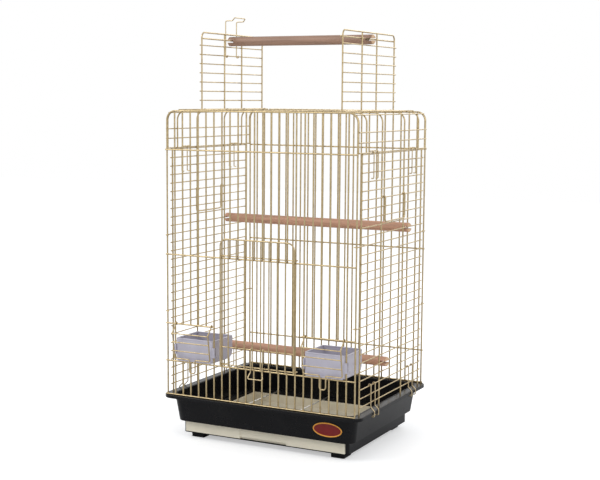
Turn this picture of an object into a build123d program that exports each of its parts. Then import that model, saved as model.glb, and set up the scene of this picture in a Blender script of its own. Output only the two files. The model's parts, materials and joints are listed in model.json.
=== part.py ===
"""Wire bird cage with an opening roof, a play perch, two feeders and a slide-out floor drawer.

Millimetres, +Z up, front face towards -Y. The origin is on the floor, under the middle of the whole box,
which lies in front of the middle of the walls because the feeder doors stand out further than the flange.
"""

from build123d import *
from math import sqrt
import os

os.makedirs("parts", exist_ok=True)

# Wire sizes
bar_d = 3.2
rail_d = 3.0
row_d = 2.2
post_d = 3.2
arch_d = 3.0
clip_d = 2.2
handle_d = 2.8
weld_gap = 0.05
pin_play = 0.3
hook_nub = 2.0
bend_slack = 0.05
soft_bend = 3.0

# Wall grid: upright bars in front and behind, level rows at the sides
bar_pitch = 18.0
bar_count = 24
row_pitch = 17.0
row_count = 30
cage_depth = 335.0
box_shift = 5.13
roof_rise = 76.0
roof_bend = 18.0
bar_head_gap = 0.15
wire_overhang = 3.0
corner_hook_wrap = 1.0
cage_width = bar_pitch * (bar_count - 1)
wall_height = row_pitch * (row_count - 1)

# Base, from the floor up
foot_height = 11.0
foot_width = 30.0
foot_length = 36.0
foot_inset_x = 12.0
foot_inset_y = 10.0
foot_corner = 3.0
foot_taper = 5.0
plinth_length = 368.0
plinth_depth = 292.0
plinth_height = 25.0
plinth_corner = 8.0
tub_bottom_length = 392.0
tub_bottom_depth = 314.0
tub_top_length = 406.0
tub_top_depth = 324.0
tub_height = 49.0
tub_corner = 22.0
tub_wall = 3.0
ledge = 3.0
flange_length = 437.0
flange_depth = 357.0
flange_height = 6.0
flange_corner = 26.0
flange_round = 1.2
plinth_z = foot_height
tub_z = plinth_z + plinth_height
flange_z = tub_z + tub_height
wall_z = flange_z + flange_height
top_z = wall_z + wall_height
crown_z = top_z + roof_rise

# Drawer in the plinth
drawer_wall = 2.0
drawer_side_play = 1.0
drawer_lift = 0.3
drawer_head_play = 1.0
plinth_wall = 5.0
plinth_floor = 2.0
plinth_lip = 1.0
drawer_proud = 1.0
pull_width = 104.0
pull_gap = 4.0
pull_depth = 1.2
pull_top = 4.0

# Rails of the front and rear walls, above the flange
mid_rail_height = 285.0
feeder_rail_height = 146.0
low_rail_height = 70.0

# Main door
door_first_bar = 7
door_last_bar = 16
door_top_height = 323.0
door_foot_height = 75.0
door_brace_height = 110.0
door_guide_height = 290.0
door_frame_d = 3.0
door_wire_d = 2.6
door_bend = 14.0
door_play = 0.5
guide_play = 0.6
door_leg_end = 3.0
brace_end = 2.0

# Feeder doors and cups
feeder_first_bar = 1
feeder_last_bar = 6
feeder_rail_overhang = 3.0
feeder_frame_d = 2.6
feeder_leg_inset = 4.0
feeder_bulge = 11.5
feeder_bulge_drop = 15.0
feeder_foot_drop = 69.0
feeder_bar_pitch = 18.0
finger_loop_width = 13.0
finger_loop_drop = 27.0
finger_loop_bend = 5.0
feeder_foot_reach = 3.0
feeder_bend = 4.0
feeder_bar_gap = 0.25
first_bar_drop = 1.5
cup_side_play = 0.8
cup_depth = 79.0
cup_height = 45.0
cup_wall = 2.0
cup_rear_round = 16.0
cup_seat = 0.3
cup_lip = 2.6
cup_lip_height = 4.0
cup_lip_inset = 4.0
cup_lip_root = 1.0
cup_front_inset = 0.5
cup_corner = 3.0
cup_ear_height = 20.0
cup_ear_wall = 1.7

# Roof flaps with their perch
flap_reach = 151.0
flap_hinge_x = 150.0
flap_half_width = 123.0
flap_inner_bar = 35.0
flap_frame_d = 3.0
flap_bend = 10.0
flap_row_first = 18.0
flap_row_pitch = 18.0
flap_row_count = 7
flap_rod_drop = 12.0
roof_rib_inner = 55.0
roof_rib_outer = 129.0
roof_outer_wire = 12.0
rim_wire_lift = 1.0

# Perches
perch_d = 19.0
perch_slot = 5.0
perch_slot_depth = 15.0
perch_tip = 5.0
top_perch_tip = 13.0
perch_end_chamfer = 2.5
perch_seat = 0.1
upper_perch_row = 9
upper_perch_y = 75.0
lower_perch_row = 24
lower_perch_y = -30.0

# Fittings
side_post_outer = 148.0
side_post_inner = 55.0
hook_rows = (10, 19)
handle_row = 5
handle_half_width = 49.0
handle_drop = 47.0
handle_bend = 5.0
clip_y = 95.0
clip_half_width = 10.0
roof_clip_rows = 3
tray_clip_row = 26
latch_half_width = 13.0
latch_drop = 56.0
hook_half_width = 22.0
hook_reach = 71.0
hook_bill = 16.0
hook_flare_x = 5.0
hook_flare_z = 6.0
catch_toe_height = 12.0
catch_toe_spread = 4.0
catch_toe_kick = 6.0
catch_toe_bend = 4.0
clip_bend = 2.4
clip_tight_bend = 2.2
clip_play = 0.2
roof_clip_play = 0.3
roof_clip_tail = 5.0
roof_clip_reach = 9.0
tray_clip_play = 0.5
tray_clip_shoulder = 9.0
tray_clip_knee = 1.0
tray_clip_toe = 7.0
tray_clip_drop = 3.5
badge_length = 62.0
badge_height = 29.0
badge_thickness = 1.2
badge_round = 0.4
badge_x = 147.0
badge_z = 60.0
floor_rod_spacing = 122.0
floor_rod_d = 3.0
floor_rod_end_gap = 2.0


def finish(piece, name):
    """Move a finished piece from the middle of the walls to the middle of the box, and write its file."""
    placed = piece.part.translate((0, box_shift, 0))
    placed.label = name
    export_step(placed, f"parts/{name}.step")


def straight_wire(start, end, diameter):
    """A straight round wire between two points."""
    run = Vector(*end) - Vector(*start)
    with BuildPart() as wire:
        with BuildSketch(Plane(origin=start, z_dir=run)):
            Circle(diameter / 2)
        extrude(amount=run.length)
    return wire.part


def bent_wire(points, bends, diameter):
    """A round wire along straight runs joined by round bends, one radius for each corner."""
    run = Vector(*points[1]) - Vector(*points[0])
    with BuildPart() as wire:
        with BuildLine() as path:
            FilletPolyline(*points, radius=bends)
        with BuildSketch(Plane(origin=points[0], z_dir=run)):
            Circle(diameter / 2)
        sweep(path=path.line)
    return wire.part


def flipped_x(points):
    """The same points on the other side of the middle plane, left to right."""
    return [(-x, y, z) for x, y, z in points]


def flipped_y(points):
    """The same points on the other side of the middle plane, front to back."""
    return [(x, -y, z) for x, y, z in points]


def bar_x(index):
    """Where an upright bar of the front or rear wall stands, counted from the left."""
    return -cage_width / 2 + index * bar_pitch


def row_z(index):
    """Height of a side row, counted down from the rim."""
    return top_z - index * row_pitch


def hook_radius(pin, wire):
    """Middle radius of a wire that hooks round a pin with play."""
    return pin / 2 + pin_play + wire / 2


# Layers of wire, from the middle plane of each wall outwards
front_y = -cage_depth / 2
side_x = cage_width / 2
rail_offset = bar_d / 2 + weld_gap + rail_d / 2
front_rail_y = front_y - rail_offset
row_offset = post_d / 2 + weld_gap + row_d / 2
row_x = side_x + row_offset
mid_rail_z = wall_z + mid_rail_height
feeder_rail_z = wall_z + feeder_rail_height
low_rail_z = wall_z + low_rail_height
floor_rail_z = wall_z + rail_d / 2 + weld_gap

# The base: plinth with a drawer bay, flared tub and flange
bay_length = plinth_length - 2 * plinth_wall
bay_depth = plinth_depth - 2 * plinth_wall
bay_floor_z = plinth_z + plinth_floor
bay_top_z = tub_z - plinth_lip

with BuildPart() as base:
    with BuildSketch(Plane.XY.offset(plinth_z)):
        RectangleRounded(plinth_length, plinth_depth, plinth_corner)
    extrude(amount=plinth_height + ledge)
    with BuildSketch(Plane.XY.offset(tub_z)):
        RectangleRounded(tub_bottom_length, tub_bottom_depth, tub_corner)
    with BuildSketch(Plane.XY.offset(flange_z)):
        RectangleRounded(tub_top_length, tub_top_depth, tub_corner)
    loft()
    with BuildSketch(Plane.XY.offset(flange_z)):
        RectangleRounded(flange_length, flange_depth, flange_corner)
    extrude(amount=flange_height)
    with BuildSketch(Plane.XY.offset(tub_z + ledge)):
        RectangleRounded(
            tub_bottom_length - 2 * tub_wall, tub_bottom_depth - 2 * tub_wall, tub_corner - tub_wall
        )
    with BuildSketch(Plane.XY.offset(wall_z)):
        RectangleRounded(tub_top_length - 2 * tub_wall, tub_top_depth - 2 * tub_wall, tub_corner - tub_wall)
    loft(mode=Mode.SUBTRACT)
    with BuildSketch(Plane.XY.offset(bay_floor_z)):
        Rectangle(bay_length, bay_depth)
    extrude(amount=tub_z + ledge - bay_floor_z, mode=Mode.SUBTRACT)
    with BuildSketch(Plane.XY.offset(bay_floor_z)):
        with Locations((0, -plinth_depth / 2)):
            Rectangle(bay_length, 4 * plinth_wall)
    extrude(amount=bay_top_z - bay_floor_z, mode=Mode.SUBTRACT)
    rim_edges = base.edges().group_by(Axis.Z)[-1]
    fillet(rim_edges, radius=flange_round)
finish(base, "base_tub")

foot_x = plinth_length / 2 - foot_inset_x - foot_width / 2
foot_y = plinth_depth / 2 - foot_inset_y - foot_length / 2

with BuildPart() as feet:
    with BuildSketch(Plane.XY.offset(foot_height)):
        with GridLocations(2 * foot_x, 2 * foot_y, 2, 2):
            RectangleRounded(foot_width, foot_length, foot_corner)
    extrude(amount=-foot_height, taper=foot_taper)
finish(feet, "feet")

badge_slope = (tub_top_depth - tub_bottom_depth) / 2 / tub_height
badge_y = -tub_bottom_depth / 2 - badge_slope * (badge_z - tub_z)
badge_face = Plane(origin=(badge_x, badge_y, badge_z), x_dir=(1, 0, 0), z_dir=(0, -1, -badge_slope))

with BuildPart() as badge:
    with BuildSketch(badge_face.offset(weld_gap)):
        Ellipse(badge_length / 2, badge_height / 2)
    extrude(amount=badge_thickness)
    fillet(badge.edges().filter_by(GeomType.ELLIPSE), radius=badge_round)
finish(badge, "badge_plate")

floor_rod_z = tub_z + ledge + floor_rod_d / 2 + weld_gap
floor_rod_reach = tub_bottom_depth / 2 - tub_wall - floor_rod_end_gap

with BuildPart() as floor_rods:
    for place in (-1, 0, 1):
        rod_x = place * floor_rod_spacing
        near = (rod_x, -floor_rod_reach, floor_rod_z)
        far = (rod_x, floor_rod_reach, floor_rod_z)
        add(straight_wire(near, far, floor_rod_d))
finish(floor_rods, "floor_rods")

# The drawer, with a finger pull along the bottom of its front
drawer_length = bay_length - 2 * drawer_side_play
drawer_front_y = -plinth_depth / 2 - drawer_proud
drawer_rear_y = bay_depth / 2 - drawer_side_play
drawer_z = bay_floor_z + drawer_lift
drawer_height = bay_top_z - drawer_head_play - drawer_z
drawer_mid_y = (drawer_front_y + drawer_rear_y) / 2
drawer_depth = drawer_rear_y - drawer_front_y

with BuildPart() as drawer:
    with BuildSketch(Plane.XY.offset(drawer_z)):
        with Locations((0, drawer_mid_y)):
            Rectangle(drawer_length, drawer_depth)
    extrude(amount=drawer_height)
    with BuildSketch(Plane.XY.offset(drawer_z + drawer_wall)):
        with Locations((0, drawer_mid_y + drawer_wall)):
            Rectangle(drawer_length - 2 * drawer_wall, drawer_depth - 4 * drawer_wall)
    extrude(amount=drawer_height, mode=Mode.SUBTRACT)
    with BuildSketch(Plane.XZ.offset(-drawer_front_y)):
        with Locations((0, drawer_z + pull_gap + (drawer_height - pull_top - pull_gap) / 2)):
            Rectangle(pull_width, drawer_height - pull_top - pull_gap)
    extrude(amount=-pull_depth, mode=Mode.SUBTRACT)
    with BuildSketch(Plane.XZ.offset(-drawer_front_y)):
        with Locations((0, drawer_z + pull_gap / 2)):
            Rectangle(pull_width, pull_gap)
    extrude(amount=-2 * drawer_wall, mode=Mode.SUBTRACT)
finish(drawer, "drawer")

# Front wall: a round-cornered outer frame, upright bars cut away at the three doors, and rails
mirrored_first_bar = bar_count - 1 - feeder_last_bar
mirrored_last_bar = bar_count - 1 - feeder_first_bar


def wall_frame(y):
    """The outer wire of the front or rear wall, with its round top corners."""
    corners = [
        (-side_x, y, wall_z + weld_gap),
        (-side_x, y, crown_z),
        (side_x, y, crown_z),
        (side_x, y, wall_z + weld_gap),
    ]
    return bent_wire(corners, [roof_bend, roof_bend], bar_d)


def upright(index, y, low, high):
    """One upright bar between two heights."""
    return straight_wire((bar_x(index), y, low), (bar_x(index), y, high), bar_d)


crown_under = crown_z - bar_d / 2 - bar_head_gap

with BuildPart() as front_frame:
    add(wall_frame(front_y))
finish(front_frame, "front_frame")

with BuildPart() as front_bars:
    for index in range(1, bar_count - 1):
        in_door = door_first_bar < index < door_last_bar
        in_left_feeder = feeder_first_bar < index < feeder_last_bar
        in_right_feeder = mirrored_first_bar < index < mirrored_last_bar
        if in_door:
            add(upright(index, front_y, wall_z + weld_gap, low_rail_z + rail_d / 2))
            add(upright(index, front_y, mid_rail_z - rail_d / 2, crown_under))
        elif in_left_feeder or in_right_feeder:
            add(upright(index, front_y, wall_z + weld_gap, low_rail_z + rail_d / 2))
            add(upright(index, front_y, feeder_rail_z - rail_d / 2, crown_under))
        else:
            add(upright(index, front_y, wall_z + weld_gap, crown_under))
finish(front_bars, "front_bars")

rail_end = side_x + bar_d / 2
feeder_rail_near = bar_x(feeder_last_bar) + feeder_rail_overhang

with BuildPart() as front_rails:
    for height in (floor_rail_z, low_rail_z, mid_rail_z, top_z):
        add(straight_wire((-rail_end, front_rail_y, height), (rail_end, front_rail_y, height), rail_d))
    for side in (-1, 1):
        outer = (side * rail_end, front_rail_y, feeder_rail_z)
        inner = (-side * feeder_rail_near, front_rail_y, feeder_rail_z)
        add(straight_wire(outer, inner, rail_d))
finish(front_rails, "front_rails")

# Rear wall
with BuildPart() as rear_frame:
    add(wall_frame(-front_y))
finish(rear_frame, "rear_frame")

with BuildPart() as rear_bars:
    for index in range(1, bar_count - 1):
        add(upright(index, -front_y, wall_z + weld_gap, crown_under))
finish(rear_bars, "rear_bars")

with BuildPart() as rear_rails:
    for height in (floor_rail_z, low_rail_z, mid_rail_z, top_z):
        add(straight_wire((-rail_end, -front_rail_y, height), (rail_end, -front_rail_y, height), rail_d))
finish(rear_rails, "rear_rails")

# Side walls: level rows outside four posts, and two longer rows that hook round the corner bars
row_reach = side_post_outer + post_d / 2 + wire_overhang / 2
corner_hook_y = front_y - bar_d / 2 - weld_gap - row_d / 2
corner_hook_x = side_x - bar_d - corner_hook_wrap


def side_wall(side, name):
    """Rows, posts and corner hooks of the left (-1) or right (1) side wall."""
    x = side * row_x
    with BuildPart() as rows:
        for index in range(row_count - 1):
            if index not in hook_rows:
                add(straight_wire((x, -row_reach, row_z(index)), (x, row_reach, row_z(index)), row_d))
    finish(rows, f"side_rows_{name}")
    with BuildPart() as posts:
        for y in (-side_post_outer, -side_post_inner, side_post_inner, side_post_outer):
            foot = (side * side_x, y, wall_z + weld_gap)
            head = (side * side_x, y, top_z + row_d / 2)
            add(straight_wire(foot, head, post_d))
    finish(posts, f"side_posts_{name}")
    with BuildPart() as hooks:
        for index in hook_rows:
            z = row_z(index)
            points = [
                (side * corner_hook_x, corner_hook_y, z),
                (x, corner_hook_y, z),
                (x, -corner_hook_y, z),
                (side * corner_hook_x, -corner_hook_y, z),
            ]
            add(bent_wire(points, [row_d, row_d], row_d))
    finish(hooks, f"corner_hooks_{name}")


side_wall(-1, "left")
side_wall(1, "right")

# Roof: end and inner arches, short ribs up to the hinge rods, thin wires along the top and sides
arch_foot_z = top_z + row_d / 2 + weld_gap
end_arch_y = front_y + bar_d / 2 + weld_gap + arch_d / 2
thin_lift = arch_d / 2 + weld_gap + row_d / 2
crown_thin_z = crown_z + thin_lift
rod_lift = arch_d / 2 + weld_gap + arch_d / 2
hinge_z = crown_z + rod_lift
thin_reach = -front_y - bar_d / 2 - weld_gap

with BuildPart() as roof_arches:
    for y in (end_arch_y, -roof_rib_outer, roof_rib_outer, -end_arch_y):
        points = [
            (-side_x, y, arch_foot_z),
            (-side_x, y, crown_z),
            (side_x, y, crown_z),
            (side_x, y, arch_foot_z),
        ]
        add(bent_wire(points, [roof_bend, roof_bend], arch_d))
finish(roof_arches, "roof_arches")

rib_end_x = flap_hinge_x - arch_d / 2

with BuildPart() as roof_ribs:
    for side in (-1, 1):
        for y in (-roof_rib_inner, roof_rib_inner):
            points = [
                (side * side_x, y, arch_foot_z),
                (side * side_x, y, crown_z),
                (side * rib_end_x, y, crown_z),
            ]
            add(bent_wire(points, [roof_bend], arch_d))
finish(roof_ribs, "roof_ribs")

rod_reach = roof_rib_outer + arch_d / 2 + wire_overhang / 2

with BuildPart() as hinge_rods:
    for side in (-1, 1):
        near = (side * flap_hinge_x, -rod_reach, hinge_z)
        far = (side * flap_hinge_x, rod_reach, hinge_z)
        add(straight_wire(near, far, arch_d))
finish(hinge_rods, "hinge_rods")

bend_x = side_x - roof_bend
bend_z = crown_z - roof_bend
bend_reach = (roof_bend + thin_lift) * sqrt(0.5)
roof_side_pitch = roof_rise / 4
first_strip_x = bar_pitch / 2
outer_thin = [flap_hinge_x + roof_outer_wire, flap_hinge_x + roof_outer_wire + bar_pitch]

with BuildPart() as roof_wires:
    for side in (-1, 1):
        spots = [(side * x, crown_thin_z) for x in outer_thin]
        spots.append((side * (bend_x + bend_reach), bend_z + bend_reach))
        for step in (0, 1, 2):
            level = top_z + rail_d / 2 + rim_wire_lift + step * roof_side_pitch
            spots.append((side * (side_x + thin_lift), level))
        for x, z in spots:
            add(straight_wire((x, -thin_reach, z), (x, thin_reach, z), row_d))
finish(roof_wires, "roof_wires")

strip_inner_y = roof_rib_outer - arch_d / 2 - wire_overhang
strip_count = 8

with BuildPart() as roof_strips:
    for end in (-1, 1):
        for step in range(strip_count):
            x = first_strip_x + step * bar_pitch
            for side in (-1, 1):
                inner = (side * x, end * strip_inner_y, crown_thin_z)
                outer = (side * x, end * thin_reach, crown_thin_z)
                add(straight_wire(inner, outer, row_d))
finish(roof_strips, "roof_strips")

# Roof flaps, standing open on their hinge rods
flap_hook = hook_radius(arch_d, flap_frame_d)
flap_x = flap_hinge_x + flap_hook
flap_top_z = hinge_z + flap_reach
flap_nub_z = hinge_z + hook_nub
flap_hook_z = hinge_z - flap_hook
flap_row_x = flap_x + flap_frame_d / 2 + weld_gap + row_d / 2
flap_rod_x = flap_x - flap_frame_d / 2 - weld_gap - rail_d / 2
flap_rod_z = flap_top_z - flap_rod_drop


def roof_flap(side, name):
    """One flap: a round-cornered frame and two inner bars that hook round the rod, rows and perch rod."""
    inner_x = side * (flap_hinge_x - flap_hook)
    outer_x = side * flap_x
    with BuildPart() as frame:
        half = [
            (inner_x, -flap_half_width, flap_nub_z),
            (inner_x, -flap_half_width, flap_hook_z),
            (outer_x, -flap_half_width, flap_hook_z),
            (outer_x, -flap_half_width, flap_top_z),
        ]
        other = list(reversed(flipped_y(half)))
        hook_bend = flap_hook - bend_slack
        bends = [hook_bend, hook_bend, flap_bend, flap_bend, hook_bend, hook_bend]
        add(bent_wire(half + other, bends, flap_frame_d))
    finish(frame, f"roof_flap_frame_{name}")
    with BuildPart() as bars:
        for y in (-flap_inner_bar, flap_inner_bar):
            points = [
                (inner_x, y, flap_nub_z),
                (inner_x, y, flap_hook_z),
                (outer_x, y, flap_hook_z),
                (outer_x, y, flap_top_z - flap_frame_d / 2 - weld_gap),
            ]
            add(bent_wire(points, [flap_hook - bend_slack, flap_hook - bend_slack], flap_frame_d))
    finish(bars, f"roof_flap_bars_{name}")
    reach = flap_half_width + flap_frame_d / 2 + wire_overhang / 2
    with BuildPart() as rows:
        for step in range(flap_row_count):
            z = hinge_z + flap_row_first + step * flap_row_pitch
            add(straight_wire((side * flap_row_x, -reach, z), (side * flap_row_x, reach, z), row_d))
    finish(rows, f"roof_flap_rows_{name}")
    with BuildPart() as rod:
        near = (side * flap_rod_x, -reach, flap_rod_z)
        far = (side * flap_rod_x, reach, flap_rod_z)
        add(straight_wire(near, far, rail_d))
    finish(rod, f"perch_rod_{name}")


roof_flap(-1, "left")
roof_flap(1, "right")

# Closing hook of the left flap, pivoted on one of the flap's rows
hook_row_z = hinge_z + flap_row_first + 5 * flap_row_pitch
latch_hook = hook_radius(row_d, clip_d)
hook_leg_x = -(flap_row_x + latch_hook)
hook_nub_x = -(flap_row_x - latch_hook)
hook_low_z = hook_row_z - latch_hook
hook_top_z = hook_row_z + hook_reach

with BuildPart() as roof_hook:
    half = [
        (hook_nub_x, -hook_half_width, hook_row_z + hook_nub),
        (hook_nub_x, -hook_half_width, hook_low_z),
        (hook_leg_x, -hook_half_width, hook_low_z),
        (hook_leg_x, -hook_half_width, hook_top_z),
        (hook_leg_x + hook_bill, -hook_half_width, hook_top_z),
        (hook_leg_x + hook_bill + hook_flare_x, -hook_half_width, hook_top_z + hook_flare_z),
    ]
    other = list(reversed(flipped_y(half)))
    side_bends = [clip_bend, clip_bend, soft_bend, soft_bend, soft_bend]
    add(bent_wire(half + other, side_bends + list(reversed(side_bends)), clip_d))
finish(roof_hook, "roof_hook")


def perch(y, z, length, name):
    """A round wooden perch with chamfered, slotted ends."""
    with BuildPart() as dowel:
        with BuildSketch(Plane.YZ.offset(-length / 2)):
            with Locations((y, z)):
                Circle(perch_d / 2)
        extrude(amount=length)
        chamfer(dowel.edges().filter_by(GeomType.CIRCLE), length=perch_end_chamfer)
        with Locations((-length / 2, y, z), (length / 2, y, z)):
            Box(2 * perch_slot_depth, perch_d, perch_slot, mode=Mode.SUBTRACT)
    finish(dowel, name)


wall_perch_length = 2 * (row_x + perch_tip)
seat_drop = perch_slot / 2 - row_d / 2 - perch_seat
rod_seat_drop = perch_slot / 2 - rail_d / 2 - perch_seat
top_perch_length = 2 * (flap_rod_x + top_perch_tip)
perch(upper_perch_y, row_z(upper_perch_row) - seat_drop, wall_perch_length, "perch_upper")
perch(lower_perch_y, row_z(lower_perch_row) - seat_drop, wall_perch_length, "perch_lower")
perch(0.0, flap_rod_z - rod_seat_drop, top_perch_length, "perch_top")

# Main door: a frame that slides up in front of the rails, on level wires hooked round the bars
door_y = front_rail_y - rail_d / 2 - door_play - door_frame_d / 2
door_half = bar_x(door_last_bar)
door_foot_z = wall_z + door_foot_height
door_top_z = wall_z + door_top_height
guide_y = door_y + door_frame_d / 2 + weld_gap + row_d / 2
guide_x = door_half + bar_d / 2 + guide_play + row_d / 2
guide_back_y = front_y + bar_d / 2 + guide_play + row_d / 2
guide_inner_x = door_half - row_d

with BuildPart() as door_frame:
    points = [
        (-door_half, door_y, door_foot_z - door_leg_end),
        (-door_half, door_y, door_top_z),
        (door_half, door_y, door_top_z),
        (door_half, door_y, door_foot_z - door_leg_end),
    ]
    add(bent_wire(points, [door_bend, door_bend], door_frame_d))
finish(door_frame, "main_door_frame")

with BuildPart() as door_bars:
    for index in range(door_first_bar + 1, door_last_bar):
        low = (bar_x(index), door_y, door_foot_z - door_leg_end)
        high = (bar_x(index), door_y, door_top_z - door_frame_d / 2 - weld_gap)
        add(straight_wire(low, high, door_wire_d))
finish(door_bars, "main_door_bars")

with BuildPart() as door_guides:
    for height in (door_foot_height, door_guide_height):
        z = wall_z + height
        points = [
            (-guide_inner_x, guide_back_y, z),
            (-guide_x, guide_back_y, z),
            (-guide_x, guide_y, z),
            (guide_x, guide_y, z),
            (guide_x, guide_back_y, z),
            (guide_inner_x, guide_back_y, z),
        ]
        add(bent_wire(points, [row_d, row_d, row_d, row_d], row_d))
finish(door_guides, "main_door_guides")

with BuildPart() as door_brace:
    z = wall_z + door_brace_height
    near = (-door_half - brace_end, guide_y, z)
    far = (door_half + brace_end, guide_y, z)
    add(straight_wire(near, far, row_d))
finish(door_brace, "main_door_brace")

# Spring catch hung on the door's brace, in front of the low rail
catch_z = wall_z + door_brace_height
catch_hook = hook_radius(row_d, clip_d)
catch_leg_y = guide_y - catch_hook

with BuildPart() as door_catch:
    half = [
        (-latch_half_width, guide_y + catch_hook, catch_z - hook_nub),
        (-latch_half_width, guide_y + catch_hook, catch_z + catch_hook),
        (-latch_half_width, catch_leg_y, catch_z + catch_hook),
        (-latch_half_width, catch_leg_y, catch_z - latch_drop + catch_toe_height),
        (-latch_half_width - catch_toe_spread, catch_leg_y - catch_toe_kick, catch_z - latch_drop),
    ]
    other = list(reversed(flipped_x(half)))
    side_bends = [clip_bend, clip_bend, catch_toe_bend, soft_bend]
    add(bent_wire(half + other, side_bends + list(reversed(side_bends)), clip_d))
finish(door_catch, "main_door_catch")

# Feeder doors: bulged frames hung on the feeder rails, with a finger loop in the bottom run
feeder_mid = (bar_x(feeder_first_bar) + bar_x(feeder_last_bar)) / 2
feeder_half = (bar_x(feeder_last_bar) - bar_x(feeder_first_bar)) / 2
feeder_leg = feeder_half - feeder_leg_inset
feeder_hook = hook_radius(rail_d, feeder_frame_d)
feeder_leg_y = front_rail_y - feeder_hook
feeder_foot_y = feeder_leg_y - feeder_foot_reach
feeder_foot_z = feeder_rail_z - feeder_foot_drop
straight_drop = feeder_foot_drop - feeder_bulge_drop


def feeder_door(side, name):
    """One feeder door, its frame and its three level bars."""
    middle = -side * feeder_mid
    with BuildPart() as frame:
        half = [
            (-feeder_leg, front_rail_y + feeder_hook, feeder_rail_z - hook_nub),
            (-feeder_leg, front_rail_y + feeder_hook, feeder_rail_z + feeder_hook),
            (-feeder_leg, feeder_leg_y, feeder_rail_z + feeder_hook),
            (-feeder_leg, feeder_leg_y, feeder_rail_z - soft_bend),
            (-feeder_leg, feeder_leg_y - feeder_bulge, feeder_rail_z - feeder_bulge_drop),
            (-feeder_leg, feeder_foot_y, feeder_foot_z),
            (-finger_loop_width / 2, feeder_foot_y, feeder_foot_z),
            (-finger_loop_width / 2, feeder_foot_y, feeder_foot_z - finger_loop_drop),
        ]
        other = list(reversed(flipped_x(half)))
        points = [(x + middle, y, z) for x, y, z in half + other]
        hook_bend = feeder_hook - bend_slack
        side_bends = [hook_bend, hook_bend, hook_nub, feeder_bend, feeder_bend, clip_bend, finger_loop_bend]
        add(bent_wire(points, side_bends + list(reversed(side_bends)), feeder_frame_d))
    finish(frame, f"feeder_door_frame_{name}")
    with BuildPart() as bars:
        for step in range(3):
            run = first_bar_drop + step * feeder_bar_pitch
            depth = feeder_bulge + (feeder_foot_reach - feeder_bulge) * run / straight_drop
            y = feeder_leg_y - depth - feeder_frame_d / 2 - feeder_bar_gap - row_d / 2
            z = feeder_rail_z - feeder_bulge_drop - run
            reach = feeder_leg + feeder_frame_d / 2
            add(straight_wire((middle - reach, y, z), (middle + reach, y, z), row_d))
    finish(bars, f"feeder_door_bars_{name}")


feeder_door(-1, "left")
feeder_door(1, "right")

# Cups: a lip over the low rail in front, and ears that clip on the bars beside the opening
cup_half = feeder_half - bar_d / 2 - cup_side_play
cup_front_y = front_y - bar_d / 2 + cup_front_inset
cup_rear_y = cup_front_y + cup_depth
cup_z = low_rail_z + rail_d / 2 + cup_seat
ear_z = cup_z + cup_height / 2


def cup(side, name):
    """One feeding cup behind a feeder door."""
    middle = -side * feeder_mid
    with BuildPart() as bowl:
        with BuildSketch(Plane.YZ.offset(middle - cup_half)):
            with BuildLine():
                line = FilletPolyline(
                    (cup_front_y, cup_z + cup_height),
                    (cup_front_y, cup_z),
                    (cup_rear_y, cup_z),
                    (cup_rear_y, cup_z + cup_height),
                    radius=[cup_corner, cup_rear_round],
                )
                Line(line @ 1, line @ 0)
            make_face()
        extrude(amount=2 * cup_half)
        fillet(bowl.edges().filter_by(Axis.Z), radius=cup_corner)
        with BuildSketch(Plane.YZ.offset(middle - cup_half + cup_wall)):
            with BuildLine():
                line = FilletPolyline(
                    (cup_front_y + cup_wall, cup_z + cup_height + cup_wall),
                    (cup_front_y + cup_wall, cup_z + cup_wall),
                    (cup_rear_y - cup_wall, cup_z + cup_wall),
                    (cup_rear_y - cup_wall, cup_z + cup_height + cup_wall),
                    radius=[cup_corner, cup_rear_round - cup_wall],
                )
                Line(line @ 1, line @ 0)
            make_face()
        extrude(amount=2 * (cup_half - cup_wall), mode=Mode.SUBTRACT)
        with BuildSketch(Plane.XY.offset(cup_z)):
            with Locations((middle, cup_front_y - cup_lip / 2 + cup_lip_root)):
                Rectangle(2 * (cup_half - cup_lip_inset), cup_lip + 2 * cup_lip_root)
        extrude(amount=cup_lip_height)
        with BuildSketch(Plane.XY.offset(ear_z - cup_ear_height / 2)):
            ear_hole = bar_d / 2 + pin_play
            with Locations((middle - feeder_half, front_y), (middle + feeder_half, front_y)):
                Rectangle(2 * cup_side_play + bar_d + cup_lip_root, 2 * ear_hole + 2 * cup_ear_wall)
                Circle(ear_hole, mode=Mode.SUBTRACT)
            slot_x = feeder_half + ear_hole
            with Locations((middle - slot_x, front_y), (middle + slot_x, front_y)):
                Rectangle(2 * ear_hole, 2 * ear_hole, mode=Mode.SUBTRACT)
        extrude(amount=cup_ear_height)
    finish(bowl, f"feeder_cup_{name}")


cup(-1, "left")
cup(1, "right")

# Carrying handles, hung outside on a side row
handle_hook = hook_radius(row_d, handle_d)


def handle(side, name):
    """One drop handle."""
    z = row_z(handle_row)
    with BuildPart() as bail:
        half = [
            (row_x - handle_hook, -handle_half_width, z - hook_nub),
            (row_x - handle_hook, -handle_half_width, z + handle_hook),
            (row_x + handle_hook, -handle_half_width, z + handle_hook),
            (row_x + handle_hook, -handle_half_width, z - handle_drop),
        ]
        points = half + list(reversed(flipped_y(half)))
        if side < 0:
            points = flipped_x(points)
        hook_bend = handle_hook - bend_slack
        bends = [hook_bend, hook_bend, handle_bend, handle_bend, hook_bend, hook_bend]
        add(bent_wire(points, bends, handle_d))
    finish(bail, f"handle_{name}")


handle(-1, "left")
handle(1, "right")

# Wire clips: four over the roof's rim, four round the flange of the base
clip_x = row_x + row_d / 2 + clip_play + clip_d / 2
roof_clip_foot_z = row_z(roof_clip_rows) + roof_clip_tail
rim_wire_top = top_z + rail_d / 2 + rim_wire_lift + row_d / 2
roof_clip_top_z = rim_wire_top + roof_clip_play + clip_d / 2
tray_clip_z = row_z(tray_clip_row)
tray_hook = hook_radius(row_d, clip_d)
flange_x = flange_length / 2 + tray_clip_play + clip_d / 2
catch_bar_z = flange_z - tray_clip_drop


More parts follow.
